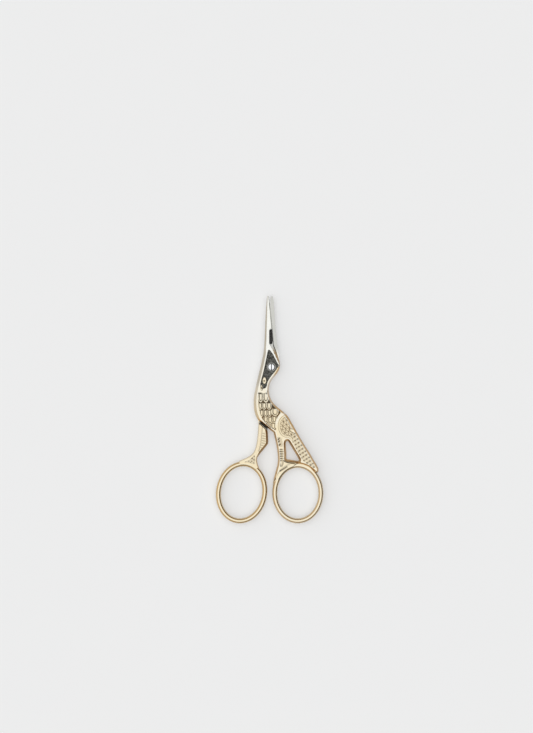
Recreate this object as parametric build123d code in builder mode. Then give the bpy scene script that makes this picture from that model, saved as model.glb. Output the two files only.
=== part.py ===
from build123d import *
from math import cos, hypot, radians, sin, tan
import os

os.makedirs("parts", exist_ok=True)

# Embroidery scissors in the shape of a standing stork, in millimetres, lying on their flat back.
# The pivot axis is the Z axis, the beak points along +Y, and the decorated front faces +Z.
# The pose is the one they lie in at rest: almost closed, with a narrow gap between the rings.

# Overall sizes
blade_length = 28.8
blade_width = 3.84
blade_thickness = 1.6
bird_length = 42.4
bird_width = 26.2
half_thickness = 1.9
mating_gap = 0.04

# Finger rings: the holes, a matched pair, and the rounded band around them
hole_width = 16.5
hole_height = 20.3
left_ring_tilt = 10.0
ring_width = 2.1
ring_thickness = 2.6
ring_rounding = 0.75
rings_apart = 1.9

# Pivot screw and the bore that turns on it
shank_diameter = 1.8
head_diameter = 2.5
head_height = 0.5
head_dome = 0.16
slot_width = 0.34
slot_depth = 0.28
running_clearance = 0.04
boss_width = 0.7
boss_height = 0.3

# Forged body: drafted walls, and how far the legs and body reach past each half's own layer
wall_draft = 17.0
leg_rise = 1.5
belly_drop = 1.5
web_inset = 0.35

# Relief
panel_depth = 0.35
eye_width = 1.8
eye_height = 3.0
eye_rise = 0.3
pupil_diameter = 0.7
collar_width = 0.7
relief_rise = 0.16
collar_margin = 0.6
feather_width = 1.7
feather_height = 2.5
wing_width = 6.2
wing_height = 10.2
wing_tilt = 22.0
rung_width = 0.45
rung_length = 1.3
rung_depth = 0.18
cut_overrun = 0.5

# Blade stations from root to tip, as shares: place along the blade, then the spine, the spine's
# ridge, the edge's ridge and the cutting edge across it, then the height.
front_blade_shares = [
    (0.170, -0.755, -0.547, -0.253, 0.312, 1.00),
    (0.309, -0.747, -0.534, -0.253, 0.253, 1.00),
    (0.519, -0.674, -0.482, -0.253, 0.138, 0.94),
    (0.715, -0.609, -0.417, -0.161, 0.000, 0.80),
    (0.940, -0.474, -0.385, -0.247, -0.211, 0.55),
    (1.000, -0.448, -0.390, -0.286, -0.260, 0.45),
]
rear_blade_shares = [
    (0.170, 0.742, 0.547, 0.156, -0.365, 1.00),
    (0.309, 0.690, 0.495, 0.195, -0.305, 1.00),
    (0.519, 0.560, 0.378, 0.130, -0.266, 0.94),
    (0.715, 0.474, 0.300, 0.040, -0.140, 0.80),
    (0.940, 0.266, 0.182, 0.052, -0.117, 0.55),
    (0.998, 0.148, 0.090, -0.010, -0.062, 0.45),
]
spine_height_share = 0.5
edge_land_share = 0.08

# Outlines of the bird from the pivot, as shares of its width and of its length
front_neck_shares = [
    (-0.109, 0.210), (-0.126, 0.114), (-0.160, 0.019), (-0.197, -0.076), (-0.234, -0.171),
    (-0.265, -0.262), (-0.272, -0.333), (-0.263, -0.410), (-0.245, -0.462), (-0.203, -0.505),
]
breast_shares = [(-0.203, -0.505), (-0.114, -0.550), (-0.022, -0.598), (0.034, -0.625)]
front_leg_shares = [(0.034, -0.625), (0.063, -0.705), (0.086, -0.781), (0.100, -0.857)]
back_shares = [
    (0.686, -0.924), (0.609, -0.838), (0.517, -0.752), (0.440, -0.671), (0.348, -0.571),
    (0.294, -0.510), (0.240, -0.457), (0.171, -0.421), (0.094, -0.381), (0.025, -0.338),
]
nape_shares = [(0.025, -0.338), (-0.020, -0.286), (-0.040, -0.229)]
throat_shares = [
    (-0.040, -0.229), (-0.034, -0.190), (-0.012, -0.143), (0.017, -0.114), (0.055, -0.086),
    (0.094, -0.057), (0.120, -0.029), (0.132, 0.005),
]
brow_shares = [
    (0.132, 0.005), (0.129, 0.038), (0.114, 0.076), (0.094, 0.114), (0.055, 0.181),
    (0.037, 0.210),
]
belly_shares = [
    (0.094, -0.381), (0.035, -0.400), (0.017, -0.440), (0.017, -0.600), (0.034, -0.625),
]

rear_spine_shares = [(0.100, 0.210), (0.111, 0.114), (0.123, 0.048), (0.122, 0.005)]
rear_throat_shares = [
    (0.122, 0.005), (0.105, -0.029), (0.074, -0.057), (0.035, -0.086), (0.000, -0.114),
    (-0.028, -0.143), (-0.045, -0.181), (-0.052, -0.229),
]
rear_neck_shares = [
    (-0.052, -0.229), (-0.051, -0.276), (-0.043, -0.333), (-0.043, -0.429), (-0.049, -0.514),
    (-0.062, -0.606),
]
rear_thigh_shares = [(-0.062, -0.606), (-0.051, -0.667), (-0.049, -0.724)]
rear_calf_shares = [(-0.228, -0.714), (-0.209, -0.629), (-0.198, -0.533)]
rear_breast_shares = [
    (-0.198, -0.533), (-0.218, -0.448), (-0.238, -0.390), (-0.249, -0.324), (-0.237, -0.267),
    (-0.198, -0.171), (-0.163, -0.076), (-0.131, 0.019), (-0.103, 0.114), (-0.045, 0.210),
]

# Window between leg and tail
window_side_shares = [(0.212, -0.867), (0.205, -0.790), (0.208, -0.722)]
window_top_shares = [(0.208, -0.722), (0.238, -0.697), (0.275, -0.713)]
window_slope_shares = [(0.275, -0.713), (0.317, -0.752), (0.409, -0.848), (0.432, -0.890)]
window_foot_shares = [(0.432, -0.890), (0.417, -0.908), (0.286, -0.893), (0.212, -0.867)]

# Sunk panel of the head, and the places of the relief
panel_brow_shares = [(-0.052, 0.152), (0.025, 0.114), (0.068, 0.067), (0.102, 0.038), (0.111, 0.000)]
panel_throat_shares = [(0.111, 0.000), (0.040, -0.067), (-0.022, -0.114), (-0.083, -0.176)]
panel_beak_shares = [(-0.083, -0.176), (-0.129, -0.189), (-0.169, -0.171)]
panel_neck_shares = [(-0.169, -0.171), (-0.154, -0.124), (-0.111, -0.029), (-0.075, 0.067), (-0.052, 0.152)]
eye_share = (-0.106, -0.129)
collar_share = (-0.120, -0.230)
wing_share = (0.206, -0.566)
feather_shares = [
    (-0.168, -0.305), (-0.085, -0.305), (-0.183, -0.371), (-0.114, -0.371), (-0.045, -0.371),
    (-0.152, -0.438), (-0.095, -0.438), (-0.037, -0.438), (0.055, -0.435), (-0.098, -0.505),
    (-0.022, -0.505), (0.050, -0.505), (0.040, -0.571),
]
rung_shares = [(0.152, -0.786), (0.154, -0.808), (0.156, -0.830), (0.157, -0.852), (0.158, -0.874)]

# Where the rings hang from the bird: their tops, and the right ring's place under the tail.
# The left hole is a little taller, as it is tilted.
right_ring_top_share = 0.910
left_ring_top_share = 0.895
right_ring_across_share = 0.4063
left_height_share = 1.035

# Where the body meets the rings: the angle round the ring in degrees, and the depth in its band,
# from 0 at the outer edge to 1 at the hole; a point outside the ring has a depth below 0.
join_depth_share = 0.4
ankle_angle = 130.2
ankle_depth_share = -1.19
sole_angle = 136.2
sole_depth_share = -0.83
tail_tip_angle = 44.0
tail_tip_depth_share = -0.64
tail_end_angle = 41.3
tail_end_depth_share = -0.31
tail_join_angles = (130.0, 115.0, 100.0, 85.0, 70.0, 55.0, 44.0)
web_edge_angle = 166.0
web_join_angles = (158.0, 146.0, 134.0, 124.0)
shin_angles = (70.9, 73.0, 72.4, 56.0)
shin_depth_shares = (-3.22, -1.90, -1.14, 0.30)
heel_angles = (110.0, 94.8, 87.0, 82.8, 81.3)
heel_depth_shares = (0.30, -0.61, -1.12, -1.87, -2.54)
foot_depth_share = 0.8
foot_join_angles = (60.0, 72.0, 84.0, 96.0, 105.0)

# Layers: the rear half lies on the table, the front half rests on it
rear_top = half_thickness
front_base = rear_top + mating_gap
front_top = front_base + half_thickness
ring_middle = rear_top + mating_gap / 2
body_bottom = front_base - belly_drop

# Rings: centre, half width and half height of the hole, and tilt
tilt = radians(left_ring_tilt)
left_hole_height = hole_height * left_height_share
left_half_width = hypot(hole_width / 2 * cos(tilt), left_hole_height / 2 * sin(tilt))
right_centre_x = right_ring_across_share * bird_width
rings_gap_right = right_centre_x - hole_width / 2 - ring_width
left_centre_x = rings_gap_right - rings_apart - ring_width - left_half_width
right_centre_y = -(right_ring_top_share * bird_length + ring_width + hole_height / 2)
left_centre_y = -(left_ring_top_share * bird_length + ring_width + left_hole_height / 2)
right_ring = (right_centre_x, right_centre_y, hole_width / 2, hole_height / 2, 0)
left_ring = (left_centre_x, left_centre_y, hole_width / 2, left_hole_height / 2, left_ring_tilt)

shank_radius = shank_diameter / 2
head_radius = head_diameter / 2
boss_radius = head_radius + running_clearance + boss_width
boss_top = front_top + boss_height
head_seat = boss_top - head_height
panel_floor = front_top - panel_depth


def at_bird(share):
    return (share[0] * bird_width, share[1] * bird_length)


def outline(shares):
    return [at_bird(share) for share in shares]


def on_ring(ring, angle, depth):
    """A point on a ring's band: depth 0 is its outer edge and 1 its hole's edge."""
    centre_x, centre_y, half_width, half_height, tilt_angle = ring
    out = ring_width * (1 - depth)
    across = (half_width + out) * cos(radians(angle))
    up = (half_height + out) * sin(radians(angle))
    turn = radians(tilt_angle)
    x = centre_x + across * cos(turn) + up * sin(turn)
    y = centre_y - across * sin(turn) + up * cos(turn)
    return (x, y)


def ring_band(ring):
    """The flat band of a finger ring."""
    centre_x, centre_y, half_width, half_height, tilt_angle = ring
    with BuildSketch(Plane.XY.offset(ring_middle)) as band:
        with Locations((centre_x, centre_y)):
            Ellipse(half_width + ring_width, half_height + ring_width, rotation=-tilt_angle)
            Ellipse(half_width, half_height, rotation=-tilt_angle, mode=Mode.SUBTRACT)
    return band.sketch


def drawn_in(curves, distance):
    """The same closed outline with every point moved inwards by a distance."""
    loop = [Vector(*point) for curve in curves for point in curve[:-1]]
    count = len(loop)
    area = sum(loop[i - 1].X * loop[i].Y - loop[i].X * loop[i - 1].Y for i in range(count))
    inward = 1 if area > 0 else -1
    moved = []
    for i in range(count):
        before = (loop[i] - loop[i - 1]).normalized()
        after = (loop[(i + 1) % count] - loop[i]).normalized()
        normal_before = Vector(-before.Y, before.X) * inward
        normal_after = Vector(-after.Y, after.X) * inward
        mitre = (normal_before + normal_after) / (1 + normal_before.dot(normal_after))
        moved.append(loop[i] + mitre * distance)
    result = []
    start = 0
    for curve in curves:
        result.append([moved[(start + i) % count] for i in range(len(curve))])
        start += len(curve) - 1
    return result


def flat_outline(curves, height):
    """A flat face at a height, its edge a smooth curve through the points of each list."""
    with BuildSketch(Plane.XY.offset(height)) as shape:
        with BuildLine():
            for curve in curves:
                if len(curve) > 2:
                    Spline(*curve)
                else:
                    Line(*curve)
        make_face()
    return shape.sketch.face()


def drafted(curves, base, rise):
    """Two faces for a loft: the outline at its base, and drawn in by the draft at its top."""
    draft = abs(rise) * tan(radians(wall_draft))
    return [flat_outline(curves, base), flat_outline(drawn_in(curves, draft), base + rise)]


def blade_sections(stations, base, side):
    """Cross-sections of a blade: flat inside, a ridge outside, ground down to both edges."""
    sections = []
    for along, spine, spine_ridge, edge_ridge, edge, height in stations:
        top = base + side * height * blade_thickness
        shoulder = base + side * height * spine_height_share * blade_thickness
        land = base + side * edge_land_share * blade_thickness
        with BuildSketch(Plane.XZ.offset(-along * blade_length)) as section:
            with BuildLine():
                Polyline(
                    (spine * blade_width, base),
                    (edge * blade_width, base),
                    (edge * blade_width, land),
                    (edge_ridge * blade_width, top),
                    (spine_ridge * blade_width, top),
                    (spine * blade_width, shoulder),
                    close=True,
                )
            make_face()
        sections.append(section.sketch.face())
    return sections


# Front half: the upper blade, the stork's head, neck, body and tail, its right leg and right ring
with BuildPart() as front_half:
    extrude(ring_band(right_ring), amount=ring_thickness / 2, both=True)
    rims = front_half.edges().group_by(Axis.Z)
    fillet(rims[0] + rims[-1], radius=ring_rounding)

    # Web where the leg runs into the ring
    web_height = ring_thickness / 2 - web_inset
    leg_foot = at_bird(front_leg_shares[-1])
    ankle = on_ring(right_ring, ankle_angle, ankle_depth_share)
    sole = on_ring(right_ring, sole_angle, sole_depth_share)
    web_edge = on_ring(right_ring, web_edge_angle, 0)
    web_joins = [on_ring(right_ring, angle, join_depth_share) for angle in web_join_angles]
    web = [
        [leg_foot, sole, web_edge],
        [web_edge, web_joins[0]],
        web_joins,
        [web_joins[-1], at_bird(window_side_shares[0])],
        [at_bird(window_side_shares[0]), leg_foot],
    ]
    extrude(flat_outline(web, ring_middle), amount=web_height, both=True)

    # Body in this half's own layer, from the head down to the tail and the foot
    tail_joins = [on_ring(right_ring, angle, join_depth_share) for angle in tail_join_angles]
    tail_tip = on_ring(right_ring, tail_tip_angle, tail_tip_depth_share)
    tail_end = on_ring(right_ring, tail_end_angle, tail_end_depth_share)
    tail = [
        [*outline(front_leg_shares), ankle, sole],
        [sole, tail_joins[0]],
        tail_joins,
        [tail_joins[-1], tail_end],
        [tail_end, tail_tip],
        [tail_tip, *outline(back_shares[:-1])],
    ]
    body = [
        outline(front_neck_shares),
        outline(breast_shares),
        *tail,
        outline(back_shares[-2:]) + outline(nape_shares)[1:],
        outline(throat_shares),
        outline(brow_shares),
        [at_bird(brow_shares[-1]), at_bird(front_neck_shares[0])],
    ]
    loft(drafted(body, front_base, half_thickness), ruled=True)

    # Belly: the body, tail and leg go on below the joint face, clear of the rear half's neck
    belly_edge = outline(belly_shares)
    belly = [
        *[belly_edge[i:i + 2] for i in range(len(belly_edge) - 1)],
        *tail,
    ]
    loft(drafted(belly, front_base, -belly_drop), ruled=True)

    # Window between the leg and the tail, narrowest at the joint face
    window = [
        outline(window_side_shares),
        outline(window_top_shares),
        outline(window_slope_shares),
        outline(window_foot_shares),
    ]
    narrowing = half_thickness * tan(radians(wall_draft))
    narrow = flat_outline(drawn_in(window, narrowing), front_base)
    loft([narrow, flat_outline(window, front_top)], ruled=True, mode=Mode.SUBTRACT)
    loft([narrow, flat_outline(window, body_bottom)], ruled=True, mode=Mode.SUBTRACT)

    # Blade
    loft(blade_sections(front_blade_shares, front_base, 1), ruled=True)

    # Sunk panel of the head, with the round boss for the screw left standing in it
    panel = [
        outline(panel_brow_shares),
        outline(panel_throat_shares),
        outline(panel_beak_shares),
        outline(panel_neck_shares),
    ]
    panel_reach = panel_depth + cut_overrun
    extrude(flat_outline(panel, panel_floor), amount=panel_reach, mode=Mode.SUBTRACT)
    with BuildSketch(Plane.XY.offset(front_base)):
        Circle(boss_radius)
    extrude(amount=boss_top - front_base)

    # Eye with its pupil
    with BuildSketch(Plane.XY.offset(panel_floor)):
        with Locations(at_bird(eye_share)):
            Ellipse(eye_width / 2, eye_height / 2)
            Circle(pupil_diameter / 2, mode=Mode.SUBTRACT)
    extrude(amount=panel_depth + eye_rise)

    # Collar across the neck, wing and feathers
    neck_width = (nape_shares[-1][0] - front_neck_shares[5][0]) * bird_width
    with BuildSketch(Plane.XY.offset(front_top)):
        with Locations(at_bird(collar_share)):
            Rectangle(neck_width - 2 * collar_margin, collar_width)
        with Locations(at_bird(wing_share)):
            Ellipse(wing_width / 2, wing_height / 2, rotation=wing_tilt)
        with Locations(*outline(feather_shares)):
            Ellipse(feather_width / 2, feather_height / 2)
    extrude(amount=relief_rise)

    # Rungs on the leg
    with BuildSketch(Plane.XY.offset(front_top - rung_depth)):
        with Locations(*outline(rung_shares)):
            Rectangle(rung_length, rung_width)
    extrude(amount=rung_depth + cut_overrun, mode=Mode.SUBTRACT)

    # Bore that turns on the screw, and the seat of the screw's head
    with BuildSketch(Plane.XY.offset(front_base - cut_overrun)):
        Circle(shank_radius + running_clearance)
    extrude(amount=boss_top - front_base + 2 * cut_overrun, mode=Mode.SUBTRACT)
    with BuildSketch(Plane.XY.offset(head_seat - running_clearance)):
        Circle(head_radius + running_clearance)
    extrude(amount=head_height + cut_overrun, mode=Mode.SUBTRACT)
front_half.part.label = "front_half"
export_step(front_half.part, "parts/front_half.step")

# Rear half: the lower blade, the hidden neck, the left leg and the left ring
with BuildPart() as rear_half:
    extrude(ring_band(left_ring), amount=ring_thickness / 2, both=True)
    rims = rear_half.edges().group_by(Axis.Z)
    fillet(rims[0] + rims[-1], radius=ring_rounding)

    # Neck and leg in this half's own layer
    foot_joins = [on_ring(left_ring, angle, foot_depth_share) for angle in foot_join_angles]
    heel = [on_ring(left_ring, *place) for place in zip(heel_angles, heel_depth_shares)]
    shin = [on_ring(left_ring, *place) for place in zip(shin_angles, shin_depth_shares)]
    foot = [
        outline(rear_thigh_shares),
        [at_bird(rear_thigh_shares[-1]), *shin],
        [shin[-1], foot_joins[0]],
        foot_joins,
        [foot_joins[-1], heel[0]],
        [*heel, *outline(rear_calf_shares)],
    ]
    neck = [
        outline(rear_spine_shares),
        outline(rear_throat_shares),
        outline(rear_neck_shares),
        *foot,
        outline(rear_breast_shares),
        [at_bird(rear_breast_shares[-1]), at_bird(rear_spine_shares[0])],
    ]
    loft(drafted(neck, rear_top, -half_thickness), ruled=True)

    # Leg above the joint face, with the shoulder that meets the breast when the scissors close
    thigh_top = [at_bird(rear_calf_shares[-1]), at_bird(rear_thigh_shares[0])]
    loft(drafted([*foot, thigh_top], rear_top, leg_rise), ruled=True)

    # Blade
    loft(blade_sections(rear_blade_shares, rear_top, -1), ruled=True)

    # Threaded hole for the screw
    with BuildSketch(Plane.XY.offset(-cut_overrun)):
        Circle(shank_radius)
    extrude(amount=half_thickness + 2 * cut_overrun, mode=Mode.SUBTRACT)
rear_half.part.label = "rear_half"
export_step(rear_half.part, "parts/rear_half.step")

# Pivot screw: slotted domed head in front, its end flush with the back of the rear half
with BuildPart() as pivot_screw:
    with BuildSketch(Plane.XZ):
        with BuildLine():
            Polyline(
                (head_radius, boss_top - head_dome),
                (head_radius, head_seat),
                (shank_radius, head_seat),
                (shank_radius, 0),
                (0, 0),
                (0, boss_top + head_dome),
            )
            ThreePointArc(
                (0, boss_top + head_dome),
                (head_radius * cos(radians(45)), boss_top),
                (head_radius, boss_top - head_dome),
            )
        make_face()
    revolve(axis=Axis.Z)
    with BuildSketch(Plane.XY.offset(boss_top + head_dome - slot_depth)):
        Rectangle(slot_width, head_diameter + cut_overrun)
    extrude(amount=slot_depth + cut_overrun, mode=Mode.SUBTRACT)
pivot_screw.part.label = "pivot_screw"
export_step(pivot_screw.part, "parts/pivot_screw.step")
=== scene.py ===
import math
from functools import partialmethod

import bpy
import numpy as np
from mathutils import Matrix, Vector
from mathutils.geometry import delaunay_2d_cdt
from mathutils.kdtree import KDTree


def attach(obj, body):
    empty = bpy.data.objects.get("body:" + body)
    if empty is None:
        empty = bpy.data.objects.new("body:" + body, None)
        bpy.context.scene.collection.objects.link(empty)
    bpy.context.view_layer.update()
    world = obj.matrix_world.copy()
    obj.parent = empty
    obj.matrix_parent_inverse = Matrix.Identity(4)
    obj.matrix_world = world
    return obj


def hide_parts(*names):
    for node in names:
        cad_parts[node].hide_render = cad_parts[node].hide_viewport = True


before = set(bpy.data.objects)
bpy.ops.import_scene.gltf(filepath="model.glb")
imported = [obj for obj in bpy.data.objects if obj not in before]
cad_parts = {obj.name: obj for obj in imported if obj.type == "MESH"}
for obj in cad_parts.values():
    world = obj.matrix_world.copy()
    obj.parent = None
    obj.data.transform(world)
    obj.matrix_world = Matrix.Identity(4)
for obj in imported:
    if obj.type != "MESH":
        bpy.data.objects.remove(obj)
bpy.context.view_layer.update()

# Front half. One steel forging: the upper blade, which is the stork's beak, then head, neck,
# body, wing and tail, the right leg and the right finger ring. The relief is struck in the die,
# the piece is polished and plated pale gold, and the blade is ground back to bare nickel.
# Lengths are in millimetres from the pivot until the mesh is made.
MM = 0.001


def spaced(fine, step):
    """The same line as points at even spacing."""
    length = np.concatenate([[0], np.cumsum(np.linalg.norm(np.diff(fine, axis=0), axis=1))])
    along = np.linspace(0, length[-1], max(2, int(round(length[-1] / step)) + 1))
    return np.stack([np.interp(along, length, fine[:, k]) for k in (0, 1)], axis=1)


def curve(points, step=0.16):
    """A smooth open curve through the points."""
    p = np.array(points, float)
    if len(p) == 2:
        return spaced(p, step)
    ends = np.vstack([2 * p[0] - p[1], p, 2 * p[-1] - p[-2]])
    knots = np.concatenate([[0], np.cumsum(np.linalg.norm(np.diff(ends, axis=0), axis=1) ** 0.5)])
    runs = []
    for i in range(1, len(ends) - 2):
        t0, t1, t2, t3 = knots[i - 1:i + 3]
        t = np.linspace(t1, t2, 40, endpoint=False)[:, None]
        a1 = (t1 - t) / (t1 - t0) * ends[i - 1] + (t - t0) / (t1 - t0) * ends[i]
        a2 = (t2 - t) / (t2 - t1) * ends[i] + (t - t1) / (t2 - t1) * ends[i + 1]
        a3 = (t3 - t) / (t3 - t2) * ends[i + 1] + (t - t2) / (t3 - t2) * ends[i + 2]
        b1 = (t2 - t) / (t2 - t0) * a1 + (t - t0) / (t2 - t0) * a2
        b2 = (t3 - t) / (t3 - t1) * a2 + (t - t1) / (t3 - t1) * a3
        runs.append((t2 - t) / (t2 - t1) * b1 + (t - t1) / (t2 - t1) * b2)
    return spaced(np.vstack(runs + [p[-1:]]), step)


def closed(points, step=0.1):
    """A smooth closed loop through the points."""
    ring = [tuple(p) for p in points]
    wrapped = curve(ring[-3:] + ring + ring[:4], step)
    first, half = np.array(ring[0]), len(wrapped) // 2
    start = np.argmin(np.linalg.norm(wrapped[:half] - first, axis=1))
    stop = half + np.argmin(np.linalg.norm(wrapped[half:] - first, axis=1))
    return wrapped[start:stop]


def chain(*parts):
    """Open curves joined end to end into a closed loop, with corners where they meet."""
    return np.vstack([part[:-1] for part in parts])


def oval(centre, radii, tilt=0.0, start=0.0, stop=360.0, step=0.22):
    """Points along an ellipse from one angle to another, in degrees; tilt leans its top right."""
    t = np.radians(np.linspace(start, stop, 720))
    x, y = radii[0] * np.cos(t), radii[1] * np.sin(t)
    c, s = math.cos(math.radians(tilt)), math.sin(math.radians(tilt))
    return spaced(np.stack([centre[0] + x * c + y * s, centre[1] - x * s + y * c], axis=1), step)


def around_hole(centre, radii, out, tilt, start, stop):
    """Part of the oval that lies a set way outside a finger hole."""
    return oval(centre, (radii[0] + out, radii[1] + out), tilt, start, stop)


def turned(x, y, degrees):
    """How far points lie along a direction and across it."""
    c, s = math.cos(math.radians(degrees)), math.sin(math.radians(degrees))
    return x * c + y * s, -x * s + y * c


class Edge:
    """A line of closely spaced points that other points can be measured from."""

    def __init__(self, points, close=True):
        self.points, self.close = np.array(points, float), close
        self.tree = KDTree(len(self.points))
        for i, (x, y) in enumerate(self.points):
            self.tree.insert((x, y, 0), i)
        self.tree.balance()
        ahead = np.roll(self.points, -1, axis=0)
        area = (self.points[:, 0] * ahead[:, 1] - ahead[:, 0] * self.points[:, 1]).sum()
        self.turn = 1.0 if area > 0 or not close else -1.0

    def depth(self, p):
        """Distance from the line: positive inside a closed loop, or left of an open line."""
        line, n = self.points, len(self.points)
        near = np.array([self.tree.find((x, y, 0))[1] for x, y in p], int)
        if self.close:
            before, after = (near - 1) % n, (near + 1) % n
        else:
            before, after = np.maximum(near - 1, 0), np.minimum(near + 1, n - 1)
        gaps, offs, normals = [], [], []
        for a, b in ((line[before], line[near]), (line[near], line[after])):
            d = b - a
            size = (d ** 2).sum(1)
            t = np.clip(((p - a) * d).sum(1) / np.maximum(size, 1e-12), 0, 1)
            off = p - a - t[:, None] * d
            gaps.append(np.where(size > 1e-12, np.linalg.norm(off, axis=1), 1e9))
            offs.append(off)
            leftward = np.stack([-d[:, 1], d[:, 0]], axis=1)
            normals.append(leftward / np.maximum(np.sqrt(size), 1e-9)[:, None])
        first, second = gaps[0] < gaps[1] - 1e-7, gaps[1] < gaps[0] - 1e-7
        normal = np.where(first[:, None], normals[0],
                          np.where(second[:, None], normals[1], normals[0] + normals[1]))
        off = np.where(first[:, None], offs[0], offs[1])
        side = np.where((off * normal).sum(1) >= 0, 1.0, -1.0)
        return np.minimum(*gaps) * side * self.turn

    def gap(self, p):
        """Plain distance from the line."""
        return np.abs(self.depth(p))

    def field(self, p, bevel):
        """1 well inside the loop and 0 outside it, with a bevel at its edge."""
        return ramp(self.depth(p), 0, bevel)


def ramp(value, low, high):
    """A smooth step from 0 at low to 1 at high."""
    t = np.clip((value - low) / (high - low), 0, 1)
    return t * t * (3 - 2 * t)


def bead(value, centre, half):
    """A round ridge that is 1 at its crest and 0 outside its half width."""
    return np.clip(1 - ((value - centre) / half) ** 2, 0, 1)


def round_max(a, b, blend):
    """The larger of two heights, with the valley between them filled by a small fillet."""
    h = np.clip(0.5 + 0.5 * (a - b) / blend, 0, 1)
    both = b + (a - b) * h + blend * h * (1 - h)
    return np.where((a < 0) | (b < 0), np.maximum(a, b), both)


def wall(depth, width, height):
    """A drafted wall up from the parting line, with its top edge polished round."""
    t = np.clip(depth / width, 0, 1)
    return height * (0.35 * (1 - (1 - t) ** 2.4) + 0.65 * np.minimum(1.12 * t, 1))


# Mesh of a plate: rows drawn in from its edges, the lattice pitch above the rings and on them
INSETS, PITCHES = (0.05, 0.12, 0.20, 0.29, 0.39, 0.51, 0.65, 0.82, 1.0), (0.115, 0.2)


def lay_points(edges, rings_top, ridges):
    """Points for a plate: its edges, rows drawn in from them, ridges, and a lattice inside."""
    outline = edges[0].points
    border = np.vstack([e.points for e in edges])
    links, start = [], 0
    for e in edges:
        n = len(e.points)
        links += [(start + i, start + (i + 1) % n) for i in range(n)]
        start += n

    def plate_depth(p):
        return np.min([edges[0].depth(p)] + [-e.depth(p) for e in edges[1:]], axis=0)

    kept = []
    for number, inset in enumerate(INSETS):
        for k, e in enumerate(edges):
            after = np.roll(e.points, -1, axis=0)
            ahead = after - np.roll(e.points, 1, axis=0)
            ahead /= np.maximum(np.linalg.norm(ahead, axis=1, keepdims=True), 1e-9)
            inward = np.stack([-ahead[:, 1], ahead[:, 0]], axis=1) * e.turn * (-1 if k else 1)
            row = ((e.points + after) / 2 if number % 2 else e.points) + inward * inset
            kept.append(row[plate_depth(row) > inset * 0.94 - 0.005])
    low, high = outline.min(0), outline.max(0)
    for pitch, fine in zip(PITCHES, (True, False)):
        gx, gy = np.meshgrid(np.arange(low[0], high[0], pitch),
                             np.arange(low[1], high[1], pitch * 0.866))
        gx = gx + (np.arange(len(gx)) % 2)[:, None] * pitch / 2
        lattice = np.stack([gx.ravel(), gy.ravel()], axis=1)
        lattice = lattice[(lattice[:, 1] > rings_top) == fine]
        kept.append(lattice[plate_depth(lattice) > INSETS[-1] + pitch * 0.55])
    inner = np.vstack(kept)
    extra, start = [], len(border)
    for ridge in ridges:
        inner = inner[Edge(ridge, close=False).gap(inner) > 0.05]
        extra.append(ridge[plate_depth(ridge) > 0.02])
        links += [(start + i, start + i + 1) for i in range(len(extra[-1]) - 1)]
        start += len(extra[-1])
    first = np.unique(np.round(inner / 0.03).astype(int), axis=0, return_index=True)[1]
    return np.vstack([border] + extra + [inner[np.sort(first)]]), links


def linked(name, data):
    """A new object with the data, linked to the scene."""
    made = bpy.data.objects.new(name, data)
    bpy.context.scene.collection.objects.link(made)
    return made


def mark(mesh, name, values):
    """A value for each point of a mesh, for its material to read."""
    layer = mesh.attributes.new(name, "FLOAT", "POINT")
    layer.data.foreach_set("value", values.astype(np.float32))


def shade_smooth(mesh, sharp):
    """Smooth shading, but across edges that turn by more than an angle in degrees."""
    mesh.polygons.foreach_set("use_smooth", np.ones(len(mesh.polygons), bool))
    mesh.set_sharp_from_angle(angle=math.radians(sharp))


def plate(name, edges, rings_top, heights, seam, ridges):
    """A closed mesh: one outline, a front height and a back height over it, sharing the seam."""
    points, links = lay_points(edges, rings_top, ridges)
    vectors = [Vector(v) for v in points]
    verts, _, faces, _, _, _ = delaunay_2d_cdt(vectors, links, [], 0, 1e-5, False)
    flat = np.array([(v.x, v.y) for v in verts])
    tris = np.array([f for f in faces if len(f) == 3], int)
    middle = flat[tris].mean(1)
    keep = edges[0].depth(middle) > 0
    for e in edges[1:]:
        keep &= e.depth(middle) < 0
    ab, ac = flat[tris[:, 1]] - flat[tris[:, 0]], flat[tris[:, 2]] - flat[tris[:, 0]]
    turn = ab[:, 0] * ac[:, 1] - ab[:, 1] * ac[:, 0]
    tris[turn < 0] = tris[turn < 0][:, ::-1]
    tris = tris[keep & (np.abs(turn) > 1e-7)]
    pairs = np.sort(np.vstack([tris[:, [0, 1]], tris[:, [1, 2]], tris[:, [2, 0]]]), axis=1)
    unique, count = np.unique(pairs, axis=0, return_counts=True)
    border = np.zeros(len(flat), bool)
    border[unique[count == 1].ravel()] = True
    front, back, marks = heights(flat)
    front[border] = back[border] = seam
    n = len(flat)
    back_index = np.where(border, np.arange(n), np.arange(n) + n)
    co = np.vstack([np.column_stack([flat, front]), np.column_stack([flat, back])]) * MM
    all_tris = np.vstack([tris, back_index[tris][:, ::-1]])
    used = np.unique(all_tris)
    renumber = np.full(2 * n, -1)
    renumber[used] = np.arange(len(used))
    mesh = bpy.data.meshes.new(name)
    mesh.from_pydata(co[used].tolist(), [], renumber[all_tris].tolist())
    for key, (above, below) in marks.items():
        mark(mesh, key, np.concatenate([above, below])[used])
    shade_smooth(mesh, 42)
    return linked(name, mesh)


# Levels of the two joint faces, the bird's face and its back, then the finger rings' round band
REAR_TOP, FRONT_BASE, FRONT_TOP, BODY_BACK = 1.90, 1.94, 3.84, 0.44
RING_MIDDLE, RING_HALF, RING_BAND = 1.92, 1.30, 2.09
RIGHT_CENTRE, RIGHT_RADII = (10.645, -50.834), (8.25, 10.15)
# How far outside a finger hole a leg ends under the ring's crown, and the tail's bar in its band
UNDER_CROWN, IN_BAND = 0.50, 1.60
# Screw seat: radii of the sunk field round its boss, of the counterbore and of the bore's rim,
# then the level of the counterbore's floor
SEAT_FIELD, COUNTERBORE, BORE_RIM, COUNTERBORE_FLOOR = 2.0, 1.33, 0.99, 3.60

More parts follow.
